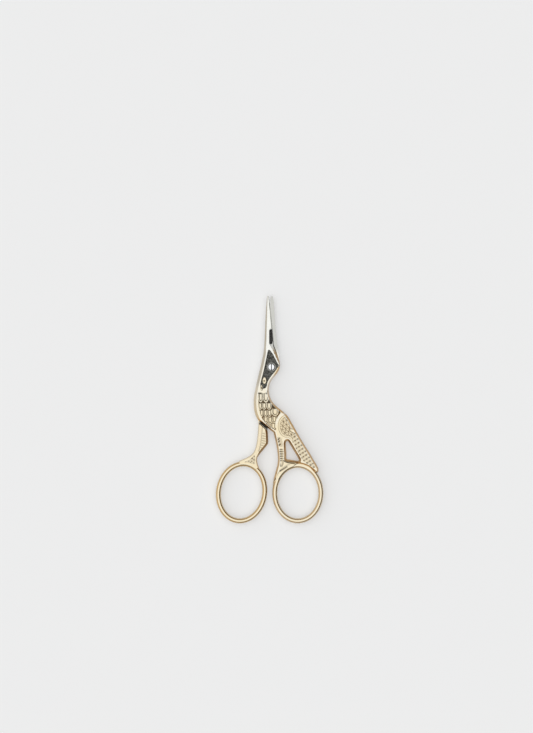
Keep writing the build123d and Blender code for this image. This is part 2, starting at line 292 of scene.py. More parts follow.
head_left = curve([
    (-2.87, 8.89), (-3.07, 6.87), (-3.36, 4.85), (-3.78, 2.83), (-4.22, 0.81), (-4.69, -1.21),
    (-5.17, -3.23), (-5.66, -5.25), (-6.12, -7.27), (-6.55, -9.29), (-6.94, -11.31),
    (-7.12, -13.33), (-7.10, -15.35), (-6.90, -17.37), (-6.48, -19.20), (-5.95, -20.50),
    (-5.33, -21.41)])
breast = curve([(-5.33, -21.41), (-4.20, -22.34), (-2.99, -23.34), (-1.78, -24.34), (-0.57, -25.34),
                (0.89, -26.50)])
leg_left = [
    (0.89, -26.50), (1.27, -28.28), (1.66, -29.90), (1.99, -31.51), (2.26, -33.13),
    (2.48, -34.74), (2.60, -36.36), (2.57, -37.98), (2.34, -39.59), (1.93, -41.21),
    (1.48, -42.82), (1.07, -44.44), (0.74, -46.06)]
right_outer = around_hole(RIGHT_CENTRE, RIGHT_RADII, RING_BAND, 0, 168.5, 402.0)
leg_side = curve(leg_left + [right_outer[0]])
tail_tip = [right_outer[-1], (18.57, -42.62), (18.88, -42.20), (19.03, -41.60),
            (18.98, -41.05), (18.80, -40.50)]
tail_back = curve([
    (18.80, -40.50), (18.00, -39.07), (17.01, -37.41), (16.00, -35.62), (14.79, -33.66),
    (13.57, -31.80), (12.56, -30.15), (11.55, -28.47), (10.75, -27.05), (9.94, -25.65),
    (9.15, -24.26), (8.40, -22.92), (7.72, -21.70), (7.05, -20.52), (6.30, -19.44),
    (5.45, -18.58), (4.48, -17.80), (3.47, -17.00), (2.46, -16.16), (1.50, -15.28),
    (0.65, -14.34), (-0.02, -13.30), (-0.54, -12.15), (-0.86, -11.00), (-1.01, -9.70)])
throat = curve([
    (-1.01, -9.70), (-0.96, -8.48), (-0.74, -7.27), (-0.29, -6.06), (0.46, -4.85),
    (1.42, -3.64), (2.38, -2.42), (3.06, -1.21), (3.38, -0.20), (3.46, 0.81), (3.33, 1.92),
    (2.99, 3.23), (2.48, 4.85), (1.93, 6.46), (1.45, 7.68), (0.97, 8.89)])
blade_right = curve([
    (0.97, 8.89), (0.83, 10.91), (0.68, 12.93), (0.51, 14.95), (0.34, 16.97), (0.13, 18.99),
    (-0.10, 21.01), (-0.34, 23.03), (-0.58, 25.05), (-0.81, 27.07), (-0.97, 28.45)])
blade_tip = curve([
    (-0.97, 28.45), (-1.10, 28.68), (-1.33, 28.76), (-1.58, 28.68), (-1.72, 28.45)], 0.1)
blade_left = curve([
    (-1.72, 28.45), (-1.86, 27.07), (-2.05, 25.05), (-2.20, 23.03), (-2.32, 21.01),
    (-2.42, 18.99), (-2.51, 16.97), (-2.60, 14.95), (-2.68, 12.93), (-2.77, 10.91), (-2.87, 8.89)])
front_edge = Edge(chain(
    head_left, breast, leg_side, right_outer, curve(tail_tip), tail_back, throat, blade_right,
    blade_tip, blade_left))
right_hole = Edge(oval(RIGHT_CENTRE, RIGHT_RADII)[:-1])
window = Edge(chain(
    curve([(6.02, -36.85), (6.04, -35.45), (5.95, -33.53), (5.83, -31.92), (5.80, -30.75)]),
    curve([(5.80, -30.75), (5.98, -30.10), (6.38, -29.82), (6.80, -30.10)]),
    curve([(6.80, -30.10), (8.02, -32.10), (9.22, -34.10), (10.42, -36.10), (11.02, -37.15)]),
    curve([(11.02, -37.15), (11.05, -37.58), (10.70, -37.82), (9.45, -37.66), (7.60, -37.36),
           (6.35, -37.15), (6.02, -36.85)])))
front_bore = Edge(oval((0, 0), (0.94, 0.94), step=0.1)[:-1])

# The forged body: beside the leg its edge runs on under the ring's crown, and by the tail it stops
# inside the ring's band, where a groove is left. Above the head it runs up under the blade.
leg_join = around_hole(RIGHT_CENTRE, RIGHT_RADII, UNDER_CROWN, 0, 166.0, 106.0)
bar_join = around_hole(RIGHT_CENTRE, RIGHT_RADII, IN_BAND, 0, 88.0, 42.5)
slab_join = np.vstack([leg_join, curve([leg_join[-1], bar_join[0]])[1:-1], bar_join])
front_slab = Edge(chain(
    curve([(-2.68, 12.93), (-2.77, 10.91), (-2.87, 8.89)]), head_left, breast, leg_side,
    curve([right_outer[0], slab_join[0]]), slab_join, curve([slab_join[-1]] + tail_tip[1:]),
    tail_back, throat,
    curve([(0.97, 8.89), (0.83, 10.91), (0.68, 12.93)]), curve([(0.68, 12.93), (-2.68, 12.93)])))
neck_side = Edge(head_left, close=False)
bill_ridge = Edge(curve([(-0.96, 10.40), (-0.82, 9.60), (-0.38, 8.75), (0.46, 7.05), (1.40, 5.00),
                         (2.27, 3.10), (2.90, 1.70), (3.26, 0.75)], 0.1), close=False)

# Blade stations: height along Y, then spine, spine ridge, edge ridge and edge across it, and rise
front_stations = np.array([
    (4.0, -3.10, -2.10, -0.97, 1.20, 1.60), (8.89, -2.87, -2.05, -0.97, 0.97, 1.60),
    (14.80, -2.61, -1.88, -0.93, 0.53, 1.50), (15.9, -2.55, -1.85, -0.08, 0.44, 1.46),
    (20.6, -2.34, -1.76, -0.50, -0.06, 1.28), (27.07, -1.86, -1.57, -0.99, -0.81, 0.88),
    (28.8, -1.66, -1.48, -1.12, -1.02, 0.72)])


def blade_height(p, stations, edge_side):
    """Rise of a ground blade above its flat inner face: spine bevel, flat, facet, honed edge."""
    y = p[:, 1]
    spine, spine_ridge, edge_ridge, edge, rise = [
        np.interp(y, stations[:, 0], stations[:, k]) for k in range(1, 6)]
    x = p[:, 0] * edge_side
    spine, spine_ridge, edge_ridge, edge = [
        v * edge_side for v in (spine, spine_ridge, edge_ridge, edge)]
    back = rise * (0.45 + 0.55 * np.clip((x - spine) / (spine_ridge - spine), 0, 1))
    shoulder = 0.30 * rise
    facet = shoulder + (rise - shoulder) * np.clip((edge - x) / (edge - edge_ridge), 0, 1)
    honed = 0.03 + np.maximum(edge - x, 0) * 3.0
    return np.minimum(np.minimum(back, facet), np.minimum(honed, rise))


def ridge_line(stations, column, low, high):
    """The line that one ridge of a blade follows, between two heights along it."""
    y = np.arange(low, high, 0.14)
    return np.stack([np.interp(y, stations[:, 0], stations[:, column]), y], axis=1)


head_panel = Edge(closed([
    (-1.22, 6.95), (-0.62, 6.80), (0.02, 6.05), (0.72, 4.95), (1.42, 3.60), (2.00, 2.45),
    (2.56, 1.30), (3.12, 0.72), (3.20, 0.28), (2.80, 0.02), (2.32, -0.50), (1.84, -1.25),
    (1.26, -2.08), (0.42, -3.03), (-0.44, -4.15), (-1.12, -5.21), (-1.62, -6.38), (-1.86, -7.60),
    (-2.40, -8.45), (-3.30, -8.75), (-4.10, -8.66), (-4.44, -7.47), (-4.07, -5.25), (-3.52, -3.23),
    (-3.02, -1.21), (-2.58, 0.81), (-2.14, 2.83), (-1.72, 4.85)]))
neck_field = Edge(closed([
    (-5.05, -10.91), (-1.80, -10.91), (-1.40, -12.12), (-0.85, -13.25), (0.00, -14.50),
    (1.05, -15.63), (2.26, -16.77), (3.40, -17.78), (3.62, -18.42), (2.83, -19.59),
    (2.14, -20.93), (1.74, -22.42), (1.70, -24.04), (1.85, -25.30), (0.65, -25.17),
    (-0.97, -23.96), (-2.38, -22.62), (-3.68, -20.73), (-4.52, -18.58), (-5.05, -16.16),
    (-5.21, -13.33)]))
wing_front = [(5.41, -28.35), (4.08, -27.55), (3.19, -26.26), (2.67, -24.64), (2.67, -22.83),
              (3.15, -21.25), (4.28, -19.90)]
wing_field = Edge(closed([
    (5.74, -19.25), (6.62, -20.60), (7.42, -22.00), (8.55, -23.90), (9.86, -26.10),
    (11.26, -28.60), (12.86, -31.45), (14.46, -34.10), (16.10, -37.10), (17.34, -39.25),
    (18.00, -40.80), (16.72, -40.50), (14.99, -39.40), (13.37, -38.30), (12.30, -37.17),
    (10.95, -34.74), (9.43, -32.04), (8.10, -29.70), (6.90, -28.60)] + wing_front))
covert_side = Edge(curve(
    [(5.2, -19.35)] + wing_front[::-1] + [(6.90, -28.62), (7.6, -29.1)], 0.1), close=False)
leg_field = Edge(closed([(2.30, -28.36), (3.90, -28.52), (4.40, -29.90), (4.57, -31.92),
                         (3.11, -32.00), (2.75, -30.10)]))
ladder_field = Edge(closed([(3.30, -33.15), (4.77, -33.15), (4.89, -35.55), (4.89, -37.98),
                            (5.01, -39.60), (3.62, -40.20), (3.48, -37.98), (3.50, -35.55)]))
foot_slot = Edge(curve([(3.68, -41.9), (4.9, -41.25), (6.3, -40.35)]), close=False)
bar_groove = Edge(curve([(5.1, -37.75), (6.2, -38.30), (8.0, -38.72), (10.0, -38.98),
                         (11.4, -39.08)]), close=False)
# Middles and radii of the eye and of the tuft of down behind it
EYE, EYE_SIZE, TUFT, TUFT_SIZE = (-2.74, -5.46), (0.90, 1.50), (-3.95, -8.35), (0.50, 1.15)
# Feathers of the neck: middle, width and length, lowest rows first, so that the upper overlap them
feathers = [
    (0.80, -23.95, 1.95, 2.7), (-2.25, -21.35, 1.85, 2.7), (-0.50, -21.55, 1.85, 2.8),
    (1.22, -21.25, 1.80, 2.8), (-3.88, -18.72, 1.60, 2.8), (-2.36, -18.75, 1.65, 2.8),
    (-0.75, -18.75, 1.75, 2.8), (1.50, -18.25, 2.85, 3.1), (-4.50, -15.84, 1.65, 2.8),
    (-2.87, -15.84, 1.90, 2.8), (-0.92, -15.84, 2.10, 2.8), (-4.28, -12.40, 1.85, 3.9),
    (-2.20, -12.40, 2.40, 4.0)]


def vane(u, v):
    """A struck feather in a unit box: raised rim round a sunk ring, and a raised quill pad."""
    q = np.where(v < 0, np.hypot(u, v), np.abs(u))
    inside = (q < 1) & (v < 1) & (v > -1)
    pad = 0.9 * np.sqrt(bead(q, 0, 0.56)) * ramp(-v, -1.0, -0.75)
    return inside, np.maximum(bead(q, 0.82, 0.22), pad)


def neck_relief(p):
    """Four rows of large feathers, each with its foot standing over the row below."""
    level, dirt_and_shade = np.full(len(p), -0.30), 1 - 0.5 * ramp(-p[:, 1], 19.5, 23.0)
    for x, y, w, h in feathers:
        v = (p[:, 1] - y) / (h / 2)
        inside, raised = vane((p[:, 0] - x) / (w / 2), v)
        level = np.where(inside, -0.24 + 0.12 * ramp(-v, -1.0, 1.0) + 0.18 * raised, level)
        dirt_and_shade = np.where(inside, 0.95 * (1 - raised) ** 1.6, dirt_and_shade)
    return level, dirt_and_shade


def scales(p, origin, axis, along, across, depth, notch, size, grime_and_shade):
    """Small overlapping scales in staggered rows along an axis, with a notch between tips."""
    ax = np.array(axis) / np.linalg.norm(axis)
    d = p - np.array(origin)
    s, t = d @ ax / along, d @ np.array([-ax[1], ax[0]]) / across
    level, dirt_and_shade = np.full(len(p), -depth), np.full(len(p), 0.6)
    for row in (2, 1, 0, -1):
        number = np.floor(s) + row
        u = 2 * (np.mod(t + 0.5 * np.mod(number, 2), 1.0) - 0.5)
        v = -(s - number - 0.25) / 0.95
        q = np.where(v < 0, np.hypot(u / 0.90, v), np.abs(u / 0.90))
        inside = (q < 1) & (v < 1) & (v > -1)
        swell = np.sqrt(bead(q, 0, 1))
        level = np.where(inside, -depth + 0.5 * depth * ramp(-v, -1.0, 1.0) + depth * swell, level)
        dirt_and_shade = np.where(inside, grime_and_shade * (1 - swell) ** 0.7, dirt_and_shade)
    number = np.round(s - 0.28)
    ds = (s - 0.28 - number) * along
    dt = (np.mod(t + 0.5 * np.mod(number, 2), 1.0) - 0.5) * across
    dt = np.where(np.abs(dt) > across / 2, across - np.abs(dt), dt)
    pit = 1 - ramp((np.abs(dt) + 1.14 * np.abs(ds + 0.05)) / size, 0.75, 1.2)
    return level - notch * pit, np.maximum(dirt_and_shade, 0.8 * pit)


TAIL_AXIS = np.array((0.53, -0.85))


def wing_relief(p):
    """Smooth covert along the wing's front edge, fine scales behind it, notched tail feathers."""
    wing_level, wing_dirt_and_shade = scales(
        p, origin=(5.0, -20.0), axis=(0.30, -0.95), along=1.50, across=1.50,
        depth=0.20, notch=0.10, size=0.26, grime_and_shade=1.0)
    tail_level, tail_dirt_and_shade = scales(
        p, origin=(8.62, -28.1), axis=TAIL_AXIS, along=1.45, across=1.28,
        depth=0.12, notch=0.11, size=0.50, grime_and_shade=0.46)
    tail = ramp(p @ TAIL_AXIS, 28.2, 28.6)
    level = wing_level * (1 - tail) + tail_level * tail
    dirt_and_shade = wing_dirt_and_shade * (1 - tail) + tail_dirt_and_shade * tail
    off = covert_side.gap(p)
    covert = 1 - ramp(off, 0.86, 0.98)
    level = level * (1 - covert) + covert * (-0.06 + 0.10 * bead(off, 0.50, 0.38))
    dirt_and_shade = dirt_and_shade * (1 - covert) + covert * 0.8 * (1 - bead(off, 0.50, 0.42))
    u, v = turned(p[:, 0] - 8.55, p[:, 1] + 25.75, -32)
    q = np.hypot(u / 1.45, v / 0.62)
    leaf = 1 - ramp(q, 1.0, 1.08)
    level = level * (1 - leaf) + leaf * (-0.10 + 0.16 * np.sqrt(bead(q, 0, 0.9)))
    dirt_and_shade = dirt_and_shade * (1 - leaf) + leaf * 0.8 * ramp(q, 0.72, 0.95)
    return level, dirt_and_shade


def from_spot(p, centre, size):
    """Distance from the middle of an oval spot, where 1 is its edge."""
    return np.hypot((p[:, 0] - centre[0]) / size[0], (p[:, 1] - centre[1]) / size[1])


def bird_relief(p):
    """Height of the bird's relief above its plain face, and how much its hollows and panel are
    darkened.
    """
    x, y = p[:, 0], p[:, 1]
    level, dirt_and_shade = np.zeros(len(p)), np.zeros(len(p))

    # Head: a sunk panel, the eye with its pupil, and a tuft of down behind it
    level -= 0.34 * head_panel.field(p, 0.20)
    # The sunk panel is painted dark: a painted dark reflection on grainy nickel
    dirt_and_shade += 0.92 * head_panel.field(p, 0.12)
    eye = from_spot(p, EYE, EYE_SIZE)
    level += 0.46 * np.sqrt(bead(eye, 0, 1))
    pupil = 1 - ramp(np.hypot(x + 2.86, y + 5.60), 0.22, 0.44)
    level -= 0.24 * pupil
    dirt_and_shade = np.where(eye < 1, np.maximum(0.7 * pupil, ramp(eye, 0.86, 1.0)), dirt_and_shade)
    tuft = from_spot(p, TUFT, TUFT_SIZE)
    level += 0.34 * np.sqrt(bead(tuft, 0, 1)) - 0.16 * (1 - ramp(tuft, 0.25, 0.55))
    tuft_dirt_and_shade = 0.75 * (1 - ramp(tuft, 0.25, 0.6)) + ramp(tuft, 0.88, 1.0) * 0.8
    dirt_and_shade = np.where(tuft < 1, tuft_dirt_and_shade, dirt_and_shade)

    # A slim collar across the neck, then the feathers of the neck, the wing and the tail
    across_neck = ramp(x, -5.5, -5.1) * (1 - ramp(x, -1.55, -1.15))
    sides = across_neck * (1 - bead(x, -3.1, 1.1))
    level += 0.09 * bead(y, -9.90, 0.42) * across_neck - 0.13 * bead(y, -10.62, 0.30) * sides
    dirt_and_shade = np.maximum(dirt_and_shade, 0.9 * bead(y, -10.66, 0.42) * sides)
    for loop, relief in ((neck_field, neck_relief), (wing_field, wing_relief)):
        amount = loop.field(p, 0.14)
        near = amount > 0
        struck, struck_dirt_and_shade = relief(p[near])
        level[near] += amount[near] * struck - 0.03 * amount[near]
        dirt_and_shade[near] = np.maximum(dirt_and_shade[near], amount[near] * struck_dirt_and_shade)

    # Leg: three leaves, a ladder of rungs that ends in rays, and two grooves over the ring
    leaves = np.zeros(len(p))
    for lx, ly, tilt in ((2.95, -29.0, 55), (3.05, -30.0, 48), (3.42, -31.25, 42)):
        u, v = turned(x - lx, y - ly, tilt)
        leaves = np.maximum(leaves, 1 - ramp(np.hypot(u / 0.62, v / 0.26), 0.6, 1.1))
    in_leg = leg_field.field(p, 0.14)
    level -= 0.09 * in_leg + 0.14 * leaves * in_leg
    dirt_and_shade = np.maximum(dirt_and_shade, in_leg * (0.30 + 0.60 * leaves))
    in_ladder = ladder_field.field(p, 0.14)
    rungs = 0.5 + 0.5 * np.cos((y + 33.6) * 2 * math.pi / 0.93)
    rays = 0.5 + 0.5 * np.cos(np.arctan2(x - 3.9, y + 41.2) * 11)
    mix = ramp(-y, 37.6, 38.2)
    bars = rungs * (1 - mix) + rays * mix
    level -= (0.19 - 0.16 * bars) * in_ladder
    dirt_and_shade = np.maximum(dirt_and_shade, in_ladder * (1 - bars) * (0.95 - 0.45 * ramp(x, 3.9, 4.5)))
    slot = foot_slot.gap(p)
    level -= 0.12 * (1 - ramp(slot, 0.10, 0.38))
    dirt_and_shade = np.maximum(dirt_and_shade, 0.5 * (1 - ramp(slot, 0.10, 0.36)))
    slot = bar_groove.gap(p)
    level -= 0.30 * (1 - ramp(slot, 0.06, 0.34))
    dirt_and_shade = np.maximum(dirt_and_shade, 0.85 * (1 - ramp(slot, 0.08, 0.26)))
    return level, dirt_and_shade


def ring_height(p, hole, spread=0.0):
    """Half thickness of a finger ring's round band or -1 off it, how much each point is on its
    flanks, and how far it is outside the hole. Spread widens the crown's outer half."""
    out = -hole.depth(p)
    half = RING_BAND / 2
    off = np.clip(np.abs(out - half) / half, 0, 1) * (1 - spread * (out > half))
    round_share, lean = 0.86, math.radians(58)
    bend = round_share * half / lean
    crown = RING_HALF + bend * np.log(np.cos(np.minimum(off / round_share, 1) * lean))
    side = np.clip((1 - off) / (1 - round_share), 0, 1) ** 0.55
    low = RING_HALF + bend * math.log(math.cos(lean))
    on_band = (out > 0) & (out < RING_BAND)
    height = np.where(on_band, np.where(off < round_share, crown, low * side), -1.0)
    return height, on_band * ramp(off, 0.24, 0.42) * (1 - 0.60 * ramp(off, 0.60, 0.78)), out


def front_heights(p):
    """Heights of the front half's face and back over the points, with its marks for both: the gold
    share and painted highlights, dirt and painted shade in hollows, and painted shade on walls."""
    x, y = p[:, 0], p[:, 1]
    off_window = window.gap(p)
    edge = np.minimum(front_edge.depth(p), off_window)
    slab = front_slab.depth(p)
    slab = np.where(slab > 0, np.minimum(slab, off_window), slab)
    on_slab = slab > 0
    left_gap = neck_side.gap(p)
    left = (1 - ramp(left_gap, 1.3, 2.2)) * (1 - ramp(-y, 19.8, 21.4))
    width = 0.70 + 0.35 * left * ramp(-y, -8.9, -5.0) + 0.20 * (1 - ramp(off_window, 0.9, 1.5))
    level, dirt_and_shade = bird_relief(p)
    by_tail = ramp(x, 6.5, 8.0) * (1 - ramp(x, 15.5, 17.5)) * (y > -45.0)
    ring, flank, out = ring_height(p, right_hole, 0.40 * by_tail)
    ring_top = np.where(ring > 0, RING_MIDDLE + ring - FRONT_BASE, -1.0)
    rise = FRONT_TOP - 0.02 - FRONT_BASE - 0.29 * ramp(y, 7.9, 9.4)
    body = wall(slab, width, rise) + 0.06 * bead(slab, width + 0.28, 0.32) * ramp(-y, -7, -5)

    # Bill: a straight ridge runs from the blade to the corner of the beak, with a facet outside
    jaw = bill_ridge.depth(p)
    facet = rise * (np.maximum(slab, 0) / (np.maximum(slab, 0) + np.abs(jaw) + 1e-6)) ** 0.85
    cheek_wall = wall(np.minimum(left_gap, 3), width, rise) + 0.06 * bead(-jaw, 0.16, 0.24)
    cheek_wall = cheek_wall + 0.06 * bead(left_gap, width + 0.28, 0.32)
    head = ramp(y, 0.30, 0.85)
    body = body * (1 - head) + np.where(jaw > 0, facet, cheek_wall) * head
    sunk = ramp(slab, width * 0.9, width + 0.22) * (1 - head) + head * np.where(
        jaw > 0, 0, ramp(left_gap, width * 0.9, width + 0.22))

    # The leg runs down onto the ring's crown and sinks into the ring
    below_breast = y < -27.0
    crown = RING_MIDDLE + RING_HALF - FRONT_BASE
    beside = crown + (rise - crown) * ramp(out, 1.0, 3.4)
    body = body - np.maximum(body - beside, 0) * (1 - ramp(x, 8.5, 10.5)) * below_breast
    sink = ramp(-y, 44.6, 48.4) * (1 - ramp(x, 6.0, 10.0))
    body = np.where(on_slab, (body + level * sunk) * (1 - sink), -1.0)
    blend = 0.42 - 0.34 * ramp(x, 9.0, 10.5)
    front = round_max(body, ring_top, blend)
    blade = blade_height(p, front_stations, 1) * np.clip(edge / 0.05, 0, 1)
    onto_blade = ramp(y - 0.6 * np.maximum(x + 0.9, 0), 8.7, 9.9)
    front = np.where(y > 8.6, front * (1 - onto_blade) + blade * onto_blade, front)

    # Boss and counterbore round the screw, painted dark there and in the groove by the tail
    r = np.hypot(x, y)
    floor = FRONT_TOP - FRONT_BASE - 0.36
    boss = 0.64 * (1 - ramp(r, 1.74, 1.98)) * ramp(r, 1.30, 1.42)
    front = np.where(r < SEAT_FIELD, floor + boss, front)
    front = np.where(r < COUNTERBORE, COUNTERBORE_FLOOR - FRONT_BASE, front)
    front = np.where(r < BORE_RIM, 0.02, front)
    dirt_and_shade = np.where(r < 1.40, 1.0, np.where(r < SEAT_FIELD, 0.63, dirt_and_shade))
    groove = np.where((body > 0) & (ring_top > 0), 1 - ramp(np.abs(body - ring_top), 0.0, 0.3), 0)
    groove = groove * ramp(x, 9.5, 11.0)
    dark_share = np.maximum(np.maximum(sunk, groove), r < SEAT_FIELD)
    dirt_and_shade = np.maximum(dirt_and_shade, 0.85 * groove) * dark_share * (1 - sink)

    # Blade: a painted reflection tints the spine bevel tan-grey, a painted dark reflection dulls
    # the facet by the bill, and painted shade darkens the facet under the bill
    spine_ridge, edge_ridge = [
        np.interp(y, front_stations[:, 0], front_stations[:, k]) for k in (2, 3)]
    bevel = ramp(spine_ridge - x, 0.0, 0.12) * ramp(y, 6.0, 9.5)
    painted_dark_facet = ramp(x - edge_ridge, 0.0, 0.12) * onto_blade * (1 - ramp(y, 14.8, 15.9))
    under_bill = (jaw > 0) * (y > 0.3) * ramp(-y, -8.6, -5.5)
    dirt_and_shade = np.maximum(np.maximum(dirt_and_shade, 0.24 * bevel), np.maximum(0.45 * painted_dark_facet, 0.35 * under_bill))

    # Back: the flat joint face above, the drafted belly, leg and ring below
    belly = np.where(below_breast, 1.0, ramp(x - 0.45, 0, 0.12) * ramp(-y, 15.6, 15.9))
    under = wall(slab, 0.50, FRONT_BASE - BODY_BACK)
    struck_back = y < -19.0
    back_level = np.where(struck_back, level, 0.0)
    under = (under + 0.7 * back_level * ramp(slab, 0.5, 0.75)) * (1 - sink)
    under = np.where(on_slab, under, -1.0)
    ring_under = np.where(ring > 0, ring + FRONT_BASE - RING_MIDDLE, -1.0)
    back = FRONT_BASE - np.maximum(round_max(under, ring_under, blend), 0) * belly

    # Gold: worn off towards the blade and in the head's panel; a painted highlight whitens the
    # body's rim, the covert and the body low down
    gilt_and_painted_light = (0.30 + 0.70 * ramp(-y, 0.0, 24.0)) * ramp(-y, -5.0, 1.0)
    gilt_and_painted_light = gilt_and_painted_light + (1 - gilt_and_painted_light) * 0.8 * ramp(x, 0.4, 2.0) * ramp(-y, -1.5, 0.0)
    gilt_and_painted_light = np.maximum(gilt_and_painted_light, np.where((jaw > 0) & (y > 0), 0.9, 0) * ramp(-y, -8.6, -5.5))
    gold_spot = (from_spot(p, EYE, EYE_SIZE) < 1) | (from_spot(p, TUFT, TUFT_SIZE) < 1)
    gilt_and_painted_light = np.where(gold_spot, 0.8, gilt_and_painted_light * (1 - 0.95 * head_panel.field(p, 0.12)))
    gilt_and_painted_light = np.maximum(gilt_and_painted_light, 0.5 * bevel)
    rim = bead(slab, width + 0.28, 0.34) * ramp(-y, 5.0, 8.0) * ramp(out, 2.0, 2.7)
    rim = np.maximum(rim, 0.25 * ramp(-y, 24.0, 30.0))
    crescent = bead(covert_side.depth(p), -0.65, 0.65) * ramp(y, -25.0, -22.0)
    gilt_and_painted_light = gilt_and_painted_light * (1 - 0.50 * np.maximum(rim, crescent))

    # Walls: painted shade round the body, less of it along the lit left side of the head and neck,
    # the cheek's lit wall painted light tan, and painted shade on the ring's flanks
    plain_wall = on_slab * (1 - ramp(slab, width * 0.85, width * 1.15)) * (body > ring_top)
    plain_wall = plain_wall * ramp(out, 1.7, 2.1)
    cheek = plain_wall * left * ramp(y, -9.0, -6.0) * (1 - onto_blade)
    dirt_and_shade = np.maximum(dirt_and_shade, 0.22 * cheek)
    gilt_and_painted_light = np.maximum(gilt_and_painted_light, 0.5 * cheek)
    painted_shade = plain_wall * (1 - 0.62 * left) * (y < 0.5) * (1 - sink)
    painted_shade = np.maximum(np.maximum(painted_shade, 0.38 * cheek), 0.85 * under_bill)
    painted_shade = np.maximum(np.maximum(painted_shade, 0.35 * bevel), 0.85 * flank * (ring_top > body))
    # Painted highlight: the ring's crown is whitened
    gilt_and_painted_light = gilt_and_painted_light * (1 - 0.12 * (1 - flank) * (ring_top > body))
    return (FRONT_BASE + np.maximum(front, 0.0), back, {
        "gilt_and_painted_light": (gilt_and_painted_light, gilt_and_painted_light), "dirt_and_shade": (dirt_and_shade, 0.6 * dirt_and_shade * struck_back * belly),
        "painted_shade": (painted_shade, 0.6 * painted_shade)})


front = plate(
    "front_half_forging", [front_edge, right_hole, window, front_bore], -42.5, front_heights,
    FRONT_BASE,
    [ridge_line(front_stations, 2, 10.2, 28.2), ridge_line(front_stations, 3, 10.6, 28.2)])


class Value:
    """A shader value that Python's own operators can work with."""

    def __init__(self, shader, socket):
        self.shader, self.socket = shader, socket

    def maths(self, operation, other, swap=False):
        pair = (other, self) if swap else (self, other)
        return self.shader.node("Math", {"operation": operation}, dict(enumerate(pair)))

    __add__ = partialmethod(maths, "ADD")
    __radd__ = partialmethod(maths, "ADD", swap=True)
    __sub__ = partialmethod(maths, "SUBTRACT")
    __rsub__ = partialmethod(maths, "SUBTRACT", swap=True)
    __mul__ = partialmethod(maths, "MULTIPLY")
    __rmul__ = partialmethod(maths, "MULTIPLY", swap=True)
    __pow__ = partialmethod(maths, "POWER")


class Shader:
    """The nodes of one material or world."""

    def __init__(self, owner):
        owner.use_nodes = True
        self.owner, self.tree = owner, owner.node_tree

    def node(self, kind, settings=None, inputs=None, output=0):
        """One output of a new shader node with these settings and inputs."""
        made = self.tree.nodes.new("ShaderNode" + kind)
        for key, value in (settings or {}).items():
            setattr(made, key, value)
        for key, value in (inputs or {}).items():
            self.feed(made.inputs[key], value)
        return Value(self, made.outputs[output])

    def feed(self, socket, value):
        if isinstance(value, Value):
            self.tree.links.new(value.socket, socket)
        elif isinstance(value, tuple) and len(value) == 3 and socket.type == "RGBA":
            socket.default_value = (*value, 1)
        else:
            socket.default_value = value

    def mix(self, amount, a, b):
        """A mix of two colours."""
        return self.node("Mix", {"data_type": "RGBA"}, {0: amount, 6: a, 7: b}, 2)

    def attribute(self, name):
        return self.node("Attribute", {"attribute_name": name}, output=2)

    def place(self):
        """Coordinates that stay with the object."""
        return self.node("TexCoord", output=3)

    def noise(self, scale, detail=2.0):
        return self.node("TexNoise", inputs={
            "Vector": self.place(), "Scale": scale, "Detail": detail})

    def bump(self, strength, distance, height):
        return self.node("Bump", inputs={
            "Strength": strength, "Distance": distance, "Height": height})

    def surface(self, node, **values):
        """Sets the inputs of a node that is there from the start."""
        for socket, value in values.items():
            self.feed(self.tree.nodes[node].inputs[socket.replace("_", " ")], value)


# Colours of the plating: gold and nickel from their duller to their brighter patches, gold in
# painted shade, and the dark of tarnish and painted shade on nickel and on gold
GOLD, SHADED_GOLD = ((0.67, 0.57, 0.38), (0.74, 0.65, 0.46)), (0.50, 0.265, 0.048)
NICKEL = ((0.66, 0.66, 0.62), (0.76, 0.76, 0.72))
TARNISH_AND_SHADE = ((0.022, 0.022, 0.017), (0.17, 0.093, 0.036))


def plated_metal(name):
    """Polished plating, pale gold giving way to nickel, with dirt, painted shade and painted
    highlights.
    """
    m = Shader(bpy.data.materials.new(name))
    gilt_and_light_share, dirt_and_shade, painted_shade = m.attribute("gilt_and_painted_light"), m.attribute("dirt_and_shade"), m.attribute("painted_shade")
    cloud, grain, speck = m.noise(260.0, 3.0), m.noise(2600.0, 4.0), m.noise(2100.0, 3.0)
    gold = m.mix(painted_shade * 0.92, m.mix(cloud, *GOLD), SHADED_GOLD)
    clean = m.mix(gilt_and_light_share, m.mix(cloud, *NICKEL), gold)
    tarnish_and_shade = m.mix(gilt_and_light_share ** 3, *TARNISH_AND_SHADE)
    dark_share = dirt_and_shade * (1.0 + 0.64 * dirt_and_shade * (speck - 0.5))
    m.surface(
        "Principled BSDF", Metallic=1.0, Base_Color=m.mix(dark_share, clean, tarnish_and_shade),
        Roughness=0.08 + 0.06 * cloud + 0.30 * dirt_and_shade + 0.12 * painted_shade,
        Normal=m.bump(0.10 + 0.8 * dirt_and_shade * dirt_and_shade, 0.00002, grain))
    return m.owner


gilt_metal = plated_metal("gilt_forging")
front.data.materials.append(gilt_metal)
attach(front, "front")
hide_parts("front_half")


